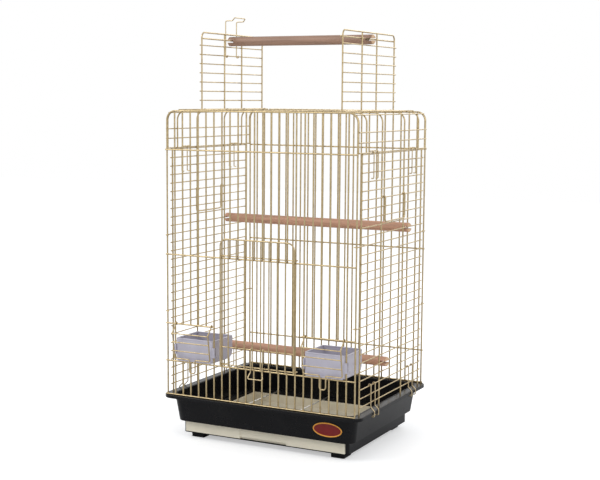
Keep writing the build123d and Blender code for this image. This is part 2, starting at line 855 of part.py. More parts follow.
def roof_clip(side, end, name):
    """A sliding clip whose arch reaches over the roof's rim."""
    with BuildPart() as clip:
        near = end * clip_y - clip_half_width
        far = end * clip_y + clip_half_width
        points = [
            (side * (clip_x - roof_clip_tail), near, roof_clip_foot_z),
            (side * clip_x, near, roof_clip_foot_z),
            (side * clip_x, near, roof_clip_top_z),
            (side * (clip_x - roof_clip_reach), near, roof_clip_top_z),
            (side * (clip_x - roof_clip_reach), far, roof_clip_top_z),
            (side * clip_x, far, roof_clip_top_z),
            (side * clip_x, far, roof_clip_foot_z),
            (side * (clip_x - roof_clip_tail), far, roof_clip_foot_z),
        ]
        add(bent_wire(points, [clip_tight_bend] * 6, clip_d))
    finish(clip, name)


def tray_clip(side, end, name):
    """A swinging clip, hung on a side row, whose lower bar catches under the flange."""
    with BuildPart() as clip:
        near = end * clip_y - clip_half_width
        far = end * clip_y + clip_half_width
        half = [
            (row_x - tray_hook, near, tray_clip_z - hook_nub),
            (row_x - tray_hook, near, tray_clip_z + tray_hook),
            (row_x + tray_hook, near, tray_clip_z + tray_hook),
            (row_x + tray_hook, near, wall_z + tray_clip_shoulder),
            (flange_x, near, wall_z + tray_clip_knee),
            (flange_x, near, catch_bar_z),
            (flange_x - tray_clip_toe, near, catch_bar_z),
        ]
        other = [(x, far, z) for x, y, z in reversed(half)]
        points = half + other
        if side < 0:
            points = flipped_x(points)
        bends = [clip_bend, clip_bend, soft_bend, soft_bend, clip_tight_bend, clip_tight_bend]
        add(bent_wire(points, bends + list(reversed(bends)), clip_d))
    finish(clip, name)


for side, side_name in ((-1, "left"), (1, "right")):
    for end, end_name in ((-1, "front"), (1, "rear")):
        roof_clip(side, end, f"roof_clip_{end_name}_{side_name}")
        tray_clip(side, end, f"tray_clip_{end_name}_{side_name}")
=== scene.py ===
"""Looks of a wire bird cage: brass-coloured wire, moulded base, wooden perches and feeding cups."""

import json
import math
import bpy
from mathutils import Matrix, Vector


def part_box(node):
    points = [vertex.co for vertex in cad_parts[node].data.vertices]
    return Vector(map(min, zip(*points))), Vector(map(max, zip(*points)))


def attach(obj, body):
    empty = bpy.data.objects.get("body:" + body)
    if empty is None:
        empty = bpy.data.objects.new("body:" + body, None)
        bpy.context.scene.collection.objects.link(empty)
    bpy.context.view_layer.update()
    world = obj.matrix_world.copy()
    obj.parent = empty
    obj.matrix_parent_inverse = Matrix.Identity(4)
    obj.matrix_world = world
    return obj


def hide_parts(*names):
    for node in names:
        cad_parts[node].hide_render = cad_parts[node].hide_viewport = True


bl_info = {
    "name": "Bird Cage Finisher",
    "version": (1, 0, 0),
    "blender": (4, 5, 0),
    "location": "View3D > Sidebar > Bird Cage",
    "description": "Adds the welds, wire ends, plaque, trims, materials and stage of a cage",
    "category": "Object",
}

import bmesh
import bpy
from mathutils import Matrix, Vector

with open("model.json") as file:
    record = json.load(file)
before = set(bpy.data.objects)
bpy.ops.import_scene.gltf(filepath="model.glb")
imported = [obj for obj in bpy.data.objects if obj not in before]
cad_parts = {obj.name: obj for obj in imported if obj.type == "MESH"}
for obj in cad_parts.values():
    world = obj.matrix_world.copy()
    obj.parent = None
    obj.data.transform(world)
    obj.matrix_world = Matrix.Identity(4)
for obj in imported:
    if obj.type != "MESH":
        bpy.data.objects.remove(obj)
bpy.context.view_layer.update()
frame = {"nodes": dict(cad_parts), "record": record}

SIDES = (("left", -1), ("right", 1))
WALL_MIDDLE_Y = 0.00513
ARCH_YS = tuple(WALL_MIDDLE_Y + y for y in (-0.16435, -0.129, -0.055, 0.055, 0.129, 0.16435))
FLAP_BAR_YS = tuple(WALL_MIDDLE_Y + y for y in (-0.123, -0.035, 0.035, 0.123))
POST_YS = tuple(WALL_MIDDLE_Y + y for y in (-0.148, -0.055, 0.055, 0.148))
CUP_NODES = ("feeder_cup_left", "feeder_cup_right")

# Wires, in metres.
ROW_RADIUS = 0.0011
RAIL_RADIUS = 0.0015
DOOR_LEG_RADIUS = 0.0013
FINE_WELD = 0.9
END_FIT = 0.99

# Rails above the underside of the lowest one, and the two rows that hook round the corners.
SECOND_RAIL_RISE = 0.06995
THIRD_RAIL_RISE = 0.28495
FEEDER_RAIL_RISE = 0.14595
FEEDER_BAR_COUNT = 7
HOOK_ROWS = (10, 19)

# Roof wires, the level ribs round the roof's edge, and the flaps.
ROOF_FIRST_X = 0.009
ROOF_WIRES_PER_SIDE = 8
ROOF_END_XS = (-0.180, -0.162, -0.150, 0.150, 0.162, 0.180)
RIB_LEVELS = tuple(0.5865 + step * 0.019 for step in range(3))
FLAP_ROW_COUNT = 7
FLAP_ROW_PITCH = 0.018

# Doors: the sliding door's bars, and the bulge of the feeder doors from bar to bar.
DOOR_FIRST_X = -0.081
DOOR_BAR_COUNT = 10
DOOR_WELD_PROUD = 0.0001
FEEDER_DOOR_BARS = 3
FEEDER_BULGE_STEP = 0.00283

# Plaque: the tub wall leans 5 mm over 49 mm, and each profile point is a share and a lift.
PLAQUE_SLOPE = math.atan2(5.0, 49.0)
PLAQUE_DEPTH = 0.0012
PLAQUE_STEPS = 96
PLAQUE_RIM_RINGS = 6
PLAQUE_PROFILE = (
    (1.00, 0.0), (1.00, 0.62), (0.975, 0.9), (0.925, 1.0), (0.875, 0.9), (0.850, 0.62),
    (0.82, 0.60), (0.65, 0.74), (0.40, 0.86), (0.15, 0.90), (0.0, 0.91),
)

# Flange beads: half length, half depth and corner of the inner one, inset and corner of the outer.
INNER_BEAD = (0.2015, 0.1605, 0.0185)
OUTER_BEAD_INSET = 0.0024
OUTER_BEAD_CORNER = 0.0236

# Cups and drawer.
CUP_HALF_X = 0.0426
CUP_FRONT_REACH = 0.1676
CUP_WALL_MIDDLE = 0.001
CUP_CORNER = 0.003
LIP_RADIUS = 0.0007
LIP_SINK = 0.55
PULL_DROP = 0.0040
PULL_XS = (-0.0520, -0.0260, 0.0, 0.0260, 0.0520)

# Stage.
FLOOR_HALF = 6.0
FLOOR_DROP = 0.0004
FLOOR_LIFT = 0.46
LAMP_AIM = Vector((0.0, 0.0, 0.35))


class CageWireSettings(bpy.types.PropertyGroup):
    """Wire spacings, weld sizes and wire colours."""

    bar_pitch: bpy.props.FloatProperty(
        name="Bar Pitch", description="Spacing of the upright bars", default=0.018, unit="LENGTH"
    )
    bar_count: bpy.props.IntProperty(
        name="Bar Count", description="Upright bars in the front wall", default=24
    )
    row_pitch: bpy.props.FloatProperty(
        name="Row Pitch", description="Spacing of the level side rows", default=0.017, unit="LENGTH"
    )
    row_count: bpy.props.IntProperty(
        name="Row Count",
        description="Level rows in a side wall, rim and floor row included", default=30
    )
    nugget_radius: bpy.props.FloatProperty(
        name="Weld Radius",
        description="Radius of a weld between two wires", default=0.0017,
        unit="LENGTH"
    )
    nugget_spread: bpy.props.FloatProperty(
        name="Weld Spread",
        description="How much the welds differ in size", default=0.22,
        subtype="FACTOR"
    )
    cap_height: bpy.props.FloatProperty(
        name="Wire End Height",
        description="Dome of a cut wire end, as a share of its radius", default=0.4
    )
    cage_colour: bpy.props.FloatVectorProperty(
        name="Cage Wire",
        description="Colour of the walls and roof",
        subtype="COLOR", default=(0.53, 0.42, 0.24)
    )
    door_colour: bpy.props.FloatVectorProperty(
        name="Door Wire",
        description="Colour of the doors",
        subtype="COLOR", default=(0.54, 0.43, 0.25)
    )
    clip_colour: bpy.props.FloatVectorProperty(
        name="Clip Wire",
        description="Colour of handles and clips",
        subtype="COLOR", default=(0.58, 0.47, 0.29)
    )
    bright_colour: bpy.props.FloatVectorProperty(
        name="Floor Rods",
        description="Colour of the plated floor rods",
        subtype="COLOR", default=(0.78, 0.77, 0.74)
    )


class CagePlasticSettings(bpy.types.PropertyGroup):
    """Colours and trim sizes of the moulded pieces."""

    base_colour: bpy.props.FloatVectorProperty(
        name="Base",
        description="Colour of the moulded base",
        subtype="COLOR", default=(0.004, 0.004, 0.005)
    )
    foot_colour: bpy.props.FloatVectorProperty(
        name="Feet",
        description="Colour of the feet",
        subtype="COLOR", default=(0.005, 0.005, 0.006)
    )
    drawer_colour: bpy.props.FloatVectorProperty(
        name="Drawer",
        description="Colour of the drawer",
        subtype="COLOR", default=(0.80, 0.74, 0.59)
    )
    cup_colour: bpy.props.FloatVectorProperty(
        name="Cups",
        description="Colour of the feeding cups",
        subtype="COLOR", default=(0.56, 0.54, 0.63)
    )
    plaque_colour: bpy.props.FloatVectorProperty(
        name="Plaque",
        description="Colour of the oval plaque",
        subtype="COLOR", default=(0.19, 0.006, 0.006)
    )
    rim_colour: bpy.props.FloatVectorProperty(
        name="Plaque Rim",
        description="Colour of the plaque's rim",
        subtype="COLOR", default=(0.78, 0.36, 0.07)
    )
    bead_radius: bpy.props.FloatProperty(
        name="Rim Bead",
        description="Radius of the bead along the flange", default=0.0011,
        unit="LENGTH"
    )
    cup_roll: bpy.props.FloatProperty(
        name="Cup Roll",
        description="Radius of the rolled edge of a cup", default=0.0016,
        unit="LENGTH"
    )


class CageWoodSettings(bpy.types.PropertyGroup):
    """Colours of the perches."""

    wall_perch: bpy.props.FloatVectorProperty(
        name="Inner Perches",
        description="Colour of the inner perches",
        subtype="COLOR", default=(0.60, 0.33, 0.215)
    )
    roof_perch: bpy.props.FloatVectorProperty(
        name="Roof Perch",
        description="Colour of the roof perch",
        subtype="COLOR", default=(0.36, 0.215, 0.15)
    )
    cut_wood: bpy.props.FloatVectorProperty(
        name="Cut Ends",
        description="Colour of the chamfered ends",
        subtype="COLOR", default=(0.72, 0.48, 0.29)
    )


class CageStageSettings(bpy.types.PropertyGroup):
    """Camera, floor and lamps."""

    camera_place: bpy.props.FloatVectorProperty(
        name="Camera",
        description="Where the camera stands",
        subtype="XYZ", default=(1.146, -2.2309, 0.687)
    )
    camera_turn: bpy.props.FloatProperty(
        name="Turn", description="Camera turn about the upright axis, in degrees", default=27.052
    )
    camera_drop: bpy.props.FloatProperty(
        name="Drop", description="How far the camera looks down, in degrees", default=6.533
    )
    camera_roll: bpy.props.FloatProperty(
        name="Roll", description="Roll of the camera, in degrees", default=0.41
    )
    lens: bpy.props.FloatProperty(
        name="Lens", description="Focal length on a sensor 36 mm wide", default=74.43
    )
    key_power: bpy.props.FloatProperty(
        name="Key Lamp", description="Power of the key lamp in watts", default=26.0
    )
    fill_power: bpy.props.FloatProperty(
        name="Fill Lamp", description="Power of the fill lamp in watts", default=13.0
    )
    sky_level: bpy.props.FloatProperty(
        name="Sky", description="Strength of the soft light from all around", default=0.62
    )


def node_box(name):
    """Lowest and highest corner of a CAD node as vectors."""
    low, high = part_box(name)
    return Vector(low), Vector(high)


def socket(tree, name, kind, default=None, output=False):
    """Add a named socket to a group and return it."""
    side = "OUTPUT" if output else "INPUT"
    item = tree.interface.new_socket(name=name, in_out=side, socket_type=kind)
    if default is not None:
        item.default_value = default
    return item


def handled_surface_group():
    """Shader group: uneven tone, handling marks and dust, for plated and moulded surfaces."""
    tree = bpy.data.node_groups.get("Handled surface")
    if tree:
        return tree
    tree = bpy.data.node_groups.new("Handled surface", "ShaderNodeTree")
    socket(tree, "Colour", "NodeSocketColor", (0.5, 0.5, 0.5, 1.0))
    socket(tree, "Mark Colour", "NodeSocketColor", (0.3, 0.3, 0.3, 1.0))
    socket(tree, "Mark Amount", "NodeSocketFloat", 0.4)
    socket(tree, "Dust Amount", "NodeSocketFloat", 0.1)
    socket(tree, "Roughness", "NodeSocketFloat", 0.3)
    socket(tree, "Roughness Spread", "NodeSocketFloat", 0.15)
    socket(tree, "Mark Scale", "NodeSocketFloat", 60.0)
    socket(tree, "Grain Scale", "NodeSocketFloat", 900.0)
    socket(tree, "Colour", "NodeSocketColor", output=True)
    socket(tree, "Roughness", "NodeSocketFloat", output=True)
    socket(tree, "Height", "NodeSocketFloat", output=True)
    nodes, links = tree.nodes, tree.links
    given = nodes.new("NodeGroupInput")
    result = nodes.new("NodeGroupOutput")
    place = nodes.new("ShaderNodeTexCoord")
    blotch = nodes.new("ShaderNodeTexNoise")
    blotch.inputs["Detail"].default_value = 5.0
    grain = nodes.new("ShaderNodeTexNoise")
    grain.inputs["Detail"].default_value = 2.0
    for noise, scale in ((blotch, "Mark Scale"), (grain, "Grain Scale")):
        links.new(place.outputs["Object"], noise.inputs["Vector"])
        links.new(given.outputs[scale], noise.inputs["Scale"])
    spots = nodes.new("ShaderNodeMapRange")
    spots.inputs["From Min"].default_value = 0.42
    spots.inputs["From Max"].default_value = 0.72
    links.new(blotch.outputs["Fac"], spots.inputs["Value"])
    mark = nodes.new("ShaderNodeMath")
    mark.operation = "MULTIPLY"
    links.new(spots.outputs["Result"], mark.inputs[0])
    links.new(given.outputs["Mark Amount"], mark.inputs[1])
    worn = nodes.new("ShaderNodeMix")
    worn.data_type = "RGBA"
    links.new(mark.outputs[0], worn.inputs["Factor"])
    links.new(given.outputs["Colour"], worn.inputs["A"])
    links.new(given.outputs["Mark Colour"], worn.inputs["B"])
    facing = nodes.new("ShaderNodeNewGeometry")
    split = nodes.new("ShaderNodeSeparateXYZ")
    links.new(facing.outputs["Normal"], split.inputs["Vector"])
    top = nodes.new("ShaderNodeMapRange")
    top.inputs["From Min"].default_value = 0.55
    top.inputs["From Max"].default_value = 1.0
    links.new(split.outputs["Z"], top.inputs["Value"])
    settled = nodes.new("ShaderNodeMath")
    settled.operation = "MULTIPLY"
    links.new(top.outputs["Result"], settled.inputs[0])
    links.new(blotch.outputs["Fac"], settled.inputs[1])
    dust = nodes.new("ShaderNodeMath")
    dust.operation = "MULTIPLY"
    links.new(settled.outputs[0], dust.inputs[0])
    links.new(given.outputs["Dust Amount"], dust.inputs[1])
    dusty = nodes.new("ShaderNodeMix")
    dusty.data_type = "RGBA"
    dusty.inputs["B"].default_value = (0.55, 0.53, 0.50, 1.0)
    links.new(dust.outputs[0], dusty.inputs["Factor"])
    links.new(worn.outputs["Result"], dusty.inputs["A"])
    links.new(dusty.outputs["Result"], result.inputs["Colour"])
    sheen = nodes.new("ShaderNodeMath")
    sheen.operation = "MULTIPLY_ADD"
    links.new(blotch.outputs["Fac"], sheen.inputs[0])
    links.new(given.outputs["Roughness Spread"], sheen.inputs[1])
    links.new(given.outputs["Roughness"], sheen.inputs[2])
    links.new(sheen.outputs[0], result.inputs["Roughness"])
    links.new(grain.outputs["Fac"], result.inputs["Height"])
    return tree


def handled_material(
    name, colour, mark, metallic, roughness, marks, dust, scales, bump, coat=0.0, specular=0.5
):
    """A material whose colour and gloss vary through the handled surface group."""
    finish = bpy.data.materials.new(name)
    finish.use_nodes = True
    nodes, links = finish.node_tree.nodes, finish.node_tree.links
    shader = nodes["Principled BSDF"]
    shader.inputs["Metallic"].default_value = metallic
    shader.inputs["Coat Weight"].default_value = coat
    shader.inputs["Coat Roughness"].default_value = 0.08
    shader.inputs["Specular IOR Level"].default_value = specular
    surface = nodes.new("ShaderNodeGroup")
    surface.node_tree = handled_surface_group()
    surface.inputs["Colour"].default_value = (*colour, 1.0)
    surface.inputs["Mark Colour"].default_value = (*mark, 1.0)
    surface.inputs["Mark Amount"].default_value = marks
    surface.inputs["Dust Amount"].default_value = dust
    surface.inputs["Roughness"].default_value = roughness[0]
    surface.inputs["Roughness Spread"].default_value = roughness[1]
    surface.inputs["Mark Scale"].default_value = scales[0]
    surface.inputs["Grain Scale"].default_value = scales[1]
    relief = nodes.new("ShaderNodeBump")
    relief.inputs["Strength"].default_value = bump
    relief.inputs["Distance"].default_value = 0.0003
    links.new(surface.outputs["Height"], relief.inputs["Height"])
    links.new(relief.outputs["Normal"], shader.inputs["Normal"])
    links.new(surface.outputs["Colour"], shader.inputs["Base Color"])
    links.new(surface.outputs["Roughness"], shader.inputs["Roughness"])
    return finish


def darker(colour, share):
    """A colour scaled towards black."""
    return tuple(part * share for part in colour)


def wire_material(name, colour):
    """Brass-coloured plating, a little uneven and tarnished."""
    tarnish = (colour[0] * 0.55, colour[1] * 0.50, colour[2] * 0.45)
    return handled_material(
        name, colour, tarnish, metallic=1.0, roughness=(0.20, 0.22), marks=0.55, dust=0.05,
        scales=(140.0, 2600.0), bump=0.12,
    )


def wood_material(name, colour, cut_colour, half_length):
    """Turned wood with grain along X, and paler wood where the ends are cut."""
    finish = bpy.data.materials.new(name)
    finish.use_nodes = True
    nodes, links = finish.node_tree.nodes, finish.node_tree.links
    shader = nodes["Principled BSDF"]
    place = nodes.new("ShaderNodeTexCoord")
    along = nodes.new("ShaderNodeMapping")
    along.inputs["Scale"].default_value = (5.0, 110.0, 110.0)
    links.new(place.outputs["Object"], along.inputs["Vector"])
    grain = nodes.new("ShaderNodeTexNoise")
    grain.inputs["Scale"].default_value = 1.0
    grain.inputs["Detail"].default_value = 7.0
    grain.inputs["Distortion"].default_value = 0.8
    links.new(along.outputs["Vector"], grain.inputs["Vector"])
    pores = nodes.new("ShaderNodeMapping")
    pores.inputs["Scale"].default_value = (60.0, 1500.0, 1500.0)
    links.new(place.outputs["Object"], pores.inputs["Vector"])
    pore = nodes.new("ShaderNodeTexNoise")
    pore.inputs["Scale"].default_value = 1.0
    pore.inputs["Detail"].default_value = 3.0
    links.new(pores.outputs["Vector"], pore.inputs["Vector"])
    tones = nodes.new("ShaderNodeValToRGB")
    tones.color_ramp.elements[0].position = 0.32
    tones.color_ramp.elements[0].color = (*darker(colour, 0.78), 1.0)
    tones.color_ramp.elements[1].position = 0.68
    tones.color_ramp.elements[1].color = (*[min(1.0, part * 1.18) for part in colour], 1.0)
    links.new(grain.outputs["Fac"], tones.inputs["Fac"])
    split = nodes.new("ShaderNodeSeparateXYZ")
    links.new(place.outputs["Object"], split.inputs["Vector"])
    reach = nodes.new("ShaderNodeMath")
    reach.operation = "ABSOLUTE"
    links.new(split.outputs["X"], reach.inputs[0])
    end = nodes.new("ShaderNodeMapRange")
    end.inputs["From Min"].default_value = half_length - 0.0030
    end.inputs["From Max"].default_value = half_length - 0.0022
    links.new(reach.outputs[0], end.inputs["Value"])
    tone = nodes.new("ShaderNodeMix")
    tone.data_type = "RGBA"
    tone.inputs["B"].default_value = (*cut_colour, 1.0)
    links.new(end.outputs["Result"], tone.inputs["Factor"])
    links.new(tones.outputs["Color"], tone.inputs["A"])
    links.new(tone.outputs["Result"], shader.inputs["Base Color"])
    gloss = nodes.new("ShaderNodeMapRange")
    gloss.inputs["To Min"].default_value = 0.34
    gloss.inputs["To Max"].default_value = 0.62
    links.new(pore.outputs["Fac"], gloss.inputs["Value"])
    links.new(gloss.outputs["Result"], shader.inputs["Roughness"])
    relief = nodes.new("ShaderNodeBump")
    relief.inputs["Strength"].default_value = 0.35
    relief.inputs["Distance"].default_value = 0.0004
    links.new(pore.outputs["Fac"], relief.inputs["Height"])
    links.new(relief.outputs["Normal"], shader.inputs["Normal"])
    return finish


def mesh_piece(name, mesh, material, body):
    """Link a finished mesh as a piece that rides on a CAD body."""
    piece = bpy.data.objects.new(name, mesh)
    bpy.context.scene.collection.objects.link(piece)
    if not mesh.materials:
        mesh.materials.append(material)
    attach(piece, body)
    return piece


def points_object(name, points, facings=None, radii=None):
    """A mesh of loose points, with the facing and wire radius of each where given."""
    mesh = bpy.data.meshes.new(name)
    mesh.from_pydata([tuple(point) for point in points], [], [])
    if facings:
        mesh.attributes.new("facing", "FLOAT_VECTOR", "POINT")
        mesh.attributes.new("wire_radius", "FLOAT", "POINT")
        flat = [part for direction in facings for part in direction]
        mesh.attributes["facing"].data.foreach_set("vector", flat)
        mesh.attributes["wire_radius"].data.foreach_set("value", radii)
    holder = bpy.data.objects.new(name, mesh)
    bpy.context.scene.collection.objects.link(holder)
    return holder


def weld_tree():
    """Geometry nodes: a small weld on every point, with a seeded spread of sizes."""
    tree = bpy.data.node_groups.get("Wire welds")
    if tree:
        return tree
    tree = bpy.data.node_groups.new("Wire welds", "GeometryNodeTree")
    socket(tree, "Geometry", "NodeSocketGeometry")
    socket(tree, "Weld Radius", "NodeSocketFloat", 0.0017)
    socket(tree, "Weld Spread", "NodeSocketFloat", 0.2)
    socket(tree, "Seed", "NodeSocketInt", 7)
    socket(tree, "Finish", "NodeSocketMaterial")
    socket(tree, "Geometry", "NodeSocketGeometry", output=True)
    nodes, links = tree.nodes, tree.links
    given = nodes.new("NodeGroupInput")
    result = nodes.new("NodeGroupOutput")
    bead = nodes.new("GeometryNodeMeshUVSphere")
    bead.inputs["Segments"].default_value = 8
    bead.inputs["Rings"].default_value = 6
    links.new(given.outputs["Weld Radius"], bead.inputs["Radius"])
    least = nodes.new("ShaderNodeMath")
    least.operation = "SUBTRACT"
    least.inputs[0].default_value = 1.0
    links.new(given.outputs["Weld Spread"], least.inputs[1])
    size = nodes.new("FunctionNodeRandomValue")
    size.data_type = "FLOAT"
    size.inputs[3].default_value = 1.0
    links.new(least.outputs[0], size.inputs[2])
    links.new(given.outputs["Seed"], size.inputs["Seed"])
    spread = nodes.new("GeometryNodeInstanceOnPoints")
    links.new(given.outputs["Geometry"], spread.inputs["Points"])
    links.new(bead.outputs["Mesh"], spread.inputs["Instance"])
    links.new(size.outputs[1], spread.inputs["Scale"])
    finish_tree(tree, spread.outputs["Instances"], given, result)
    return tree


def cap_tree():
    """Geometry nodes: a low dome on every cut wire end, turned to the way the wire points."""
    tree = bpy.data.node_groups.get("Wire ends")
    if tree:
        return tree
    tree = bpy.data.node_groups.new("Wire ends", "GeometryNodeTree")
    socket(tree, "Geometry", "NodeSocketGeometry")
    socket(tree, "End Height", "NodeSocketFloat", 0.4)
    socket(tree, "Finish", "NodeSocketMaterial")
    socket(tree, "Geometry", "NodeSocketGeometry", output=True)
    nodes, links = tree.nodes, tree.links
    given = nodes.new("NodeGroupInput")
    result = nodes.new("NodeGroupOutput")
    dome = nodes.new("GeometryNodeMeshUVSphere")
    dome.inputs["Segments"].default_value = 10
    dome.inputs["Rings"].default_value = 6
    dome.inputs["Radius"].default_value = 1.0
    facing = nodes.new("GeometryNodeInputNamedAttribute")
    facing.data_type = "FLOAT_VECTOR"
    facing.inputs["Name"].default_value = "facing"
    radius = nodes.new("GeometryNodeInputNamedAttribute")
    radius.data_type = "FLOAT"
    radius.inputs["Name"].default_value = "wire_radius"
    turn = nodes.new("FunctionNodeAlignRotationToVector")
    turn.axis = "Z"
    links.new(facing.outputs["Attribute"], turn.inputs["Vector"])
    low = nodes.new("ShaderNodeMath")
    low.operation = "MULTIPLY"
    links.new(radius.outputs["Attribute"], low.inputs[0])
    links.new(given.outputs["End Height"], low.inputs[1])
    size = nodes.new("ShaderNodeCombineXYZ")
    links.new(radius.outputs["Attribute"], size.inputs["X"])
    links.new(radius.outputs["Attribute"], size.inputs["Y"])
    links.new(low.outputs[0], size.inputs["Z"])
    spread = nodes.new("GeometryNodeInstanceOnPoints")
    links.new(given.outputs["Geometry"], spread.inputs["Points"])
    links.new(dome.outputs["Mesh"], spread.inputs["Instance"])
    links.new(turn.outputs["Rotation"], spread.inputs["Rotation"])
    links.new(size.outputs["Vector"], spread.inputs["Scale"])
    finish_tree(tree, spread.outputs["Instances"], given, result)
    return tree


def finish_tree(tree, instances, given, result):
    """Realize the instances, smooth them and give them their finish."""
    nodes, links = tree.nodes, tree.links
    real = nodes.new("GeometryNodeRealizeInstances")
    smooth = nodes.new("GeometryNodeSetShadeSmooth")
    paint = nodes.new("GeometryNodeSetMaterial")
    links.new(instances, real.inputs["Geometry"])
    links.new(real.outputs["Geometry"], smooth.inputs["Geometry"])
    links.new(smooth.outputs["Geometry"], paint.inputs["Geometry"])
    links.new(given.outputs["Finish"], paint.inputs["Material"])
    links.new(paint.outputs["Geometry"], result.inputs["Geometry"])


def grown(name, holder, tree, values, material, body):
    """Run a geometry node tree on a holder, keep the result as a plain mesh and drop the holder."""
    modifier = holder.modifiers.new(tree.name, "NODES")
    modifier.node_group = tree
    sockets = tree.interface.items_tree
    named = {item.name: item.identifier for item in sockets if item.in_out == "INPUT"}
    for key, value in values.items():
        modifier[named[key]] = value
    modifier[named["Finish"]] = material
    view = bpy.context.evaluated_depsgraph_get()
    mesh = bpy.data.meshes.new_from_object(holder.evaluated_get(view), depsgraph=view)
    mesh.name = name
    for extra in ("facing", "wire_radius"):
        if extra in mesh.attributes:
            mesh.attributes.remove(mesh.attributes[extra])
    bpy.data.objects.remove(holder, do_unlink=True)
    if not mesh.polygons:
        raise RuntimeError(f"{name} came out empty")
    return mesh_piece(name, mesh, material, body)


def tube(name, points, radius, closed, sides=10):
    """A round tube mesh along points, with shared frames turned the least from point to point."""
    shape = bmesh.new()
    count = len(points)
    rings = []
    normal = None
    for index, point in enumerate(points):
        before = points[index - 1] if closed or index else points[index]
        after = points[(index + 1) % count] if closed or index < count - 1 else points[index]
        way = (Vector(after) - Vector(before)).normalized()
        if normal is None:
            normal = way.orthogonal().normalized()
        normal = (normal - way * normal.dot(way)).normalized()
        side = way.cross(normal)
        ring = []
        for step in range(sides):
            angle = 2 * math.pi * step / sides
            offset = normal * math.cos(angle) + side * math.sin(angle)
            ring.append(shape.verts.new(Vector(point) + offset * radius))
        rings.append(ring)
    spans = count if closed else count - 1
    for index in range(spans):
        first, second = rings[index], rings[(index + 1) % count]
        shift = 0
        if closed and index == count - 1:
            shift = min(range(sides), key=lambda turn: (second[turn].co - first[0].co).length)
        for step in range(sides):
            follow = (step + 1) % sides
            corner = second[(follow + shift) % sides]
            shape.faces.new((first[step], first[follow], corner, second[(step + shift) % sides]))
    if not closed:
        shape.faces.new(list(reversed(rings[0])))
        shape.faces.new(rings[-1])
    bmesh.ops.recalc_face_normals(shape, faces=shape.faces[:])
    mesh = bpy.data.meshes.new(name)
    shape.to_mesh(mesh)
    shape.free()
    mesh.shade_smooth()
    return mesh


def rounded_loop(half_x, half_y, corner, middle, steps=10):
    """Points of a level rounded rectangle round a middle point."""
    points = []
    for turn, (sign_x, sign_y) in enumerate(((1, 1), (-1, 1), (-1, -1), (1, -1))):
        for step in range(steps + 1):
            angle = math.pi / 2 * (turn + step / steps)
            x = sign_x * (half_x - corner) + corner * math.cos(angle)
            y = sign_y * (half_y - corner) + corner * math.sin(angle)
            points.append(Vector((x, y, 0.0)) + middle)
    return points


def wall_grid(wire):
    """The named places of the wire grid that the welds and wire ends share."""
    half = wire.bar_pitch * (wire.bar_count - 1) / 2
    front_low, front_high = node_box("front_rails")
    rows_low, rows_high = node_box("side_rows_right")
    rim = rows_high.z - ROW_RADIUS
    base = front_low.z
    rear_y = 2 * WALL_MIDDLE_Y - front_low.y
    return {
        "bars": [-half + index * wire.bar_pitch for index in range(wire.bar_count)],
        "rail_heights": [
            base + RAIL_RADIUS,
            base + SECOND_RAIL_RISE,
            base + THIRD_RAIL_RISE,
            front_high.z - RAIL_RADIUS,
        ],
        "feeder_height": base + FEEDER_RAIL_RISE,
        "front": front_low.y + 2 * RAIL_RADIUS,
        "rear": rear_y - 2 * RAIL_RADIUS,
        "rail_reach": front_high.x,
        "rail_ys": (front_low.y + RAIL_RADIUS, rear_y - RAIL_RADIUS),
        "row_x": (rows_low.x + rows_high.x) / 2,
        "row_ends": (rows_low.y, rows_high.y),
        "rows": [rim - index * wire.row_pitch for index in range(wire.row_count - 1)],
    }


class CAGE_OT_materials(bpy.types.Operator):
    """Give every CAD node its finish"""

    bl_idname = "cage.materials"
    bl_label = "Finishes"

    def execute(self, context):
        wire = context.scene.cage_wire
        plastic = context.scene.cage_plastic
        wood = context.scene.cage_wood
        cage = wire_material("Cage wire brass", wire.cage_colour)
        door = wire_material("Door wire brass", wire.door_colour)
        clip = wire_material("Clip wire brass", wire.clip_colour)
        bright = wire_material("Plated floor rod", wire.bright_colour)
        base = handled_material(
            "Glossy base plastic", plastic.base_colour, (0.009, 0.009, 0.010), metallic=0.0,
            roughness=(0.16, 0.16), marks=0.5, dust=0.02, scales=(34.0, 700.0), bump=0.05,
            specular=0.16,
        )
        foot = handled_material(
            "Foot plastic", plastic.foot_colour, (0.010, 0.010, 0.011), metallic=0.0,
            roughness=(0.34, 0.20), marks=0.5, dust=0.0, scales=(60.0, 900.0), bump=0.12,
            specular=0.12,
        )
        drawer = handled_material(
            "Drawer plastic", plastic.drawer_colour, darker(plastic.drawer_colour, 0.86),
            metallic=0.0, roughness=(0.30, 0.20), marks=0.6, dust=0.12, scales=(26.0, 1100.0), bump=0.08,
            coat=0.1,
        )
        cup = handled_material(
            "Cup plastic", plastic.cup_colour, darker(plastic.cup_colour, 0.90), metallic=0.0,
            roughness=(0.22, 0.16), marks=0.6, dust=0.10, scales=(45.0, 1200.0), bump=0.06,
            coat=0.2,
        )
        _, end = node_box("perch_upper")
        _, top_end = node_box("perch_top")
        wall_wood = wood_material("Inner perch wood", wood.wall_perch, wood.cut_wood, end.x)
        roof_wood = wood_material("Roof perch wood", wood.roof_perch, wood.cut_wood, top_end.x)
        by_slot = {
            "cage_wire": cage,
            "door_wire": door,
            "clip_wire": clip,
            "bright_wire": bright,
            "base_plastic": base,
            "foot_plastic": foot,
            "drawer_plastic": drawer,
            "cup_plastic": cup,
            "perch_wood": wall_wood,
            "badge": base,
        }
        for part in frame["record"]["subparts"]:
            piece = frame["nodes"][part["node"]]
            finish = roof_wood if part["node"] == "perch_top" else by_slot[part["material_slot"]]
            piece.data.materials.clear()
            piece.data.materials.append(finish)
        return {"FINISHED"}


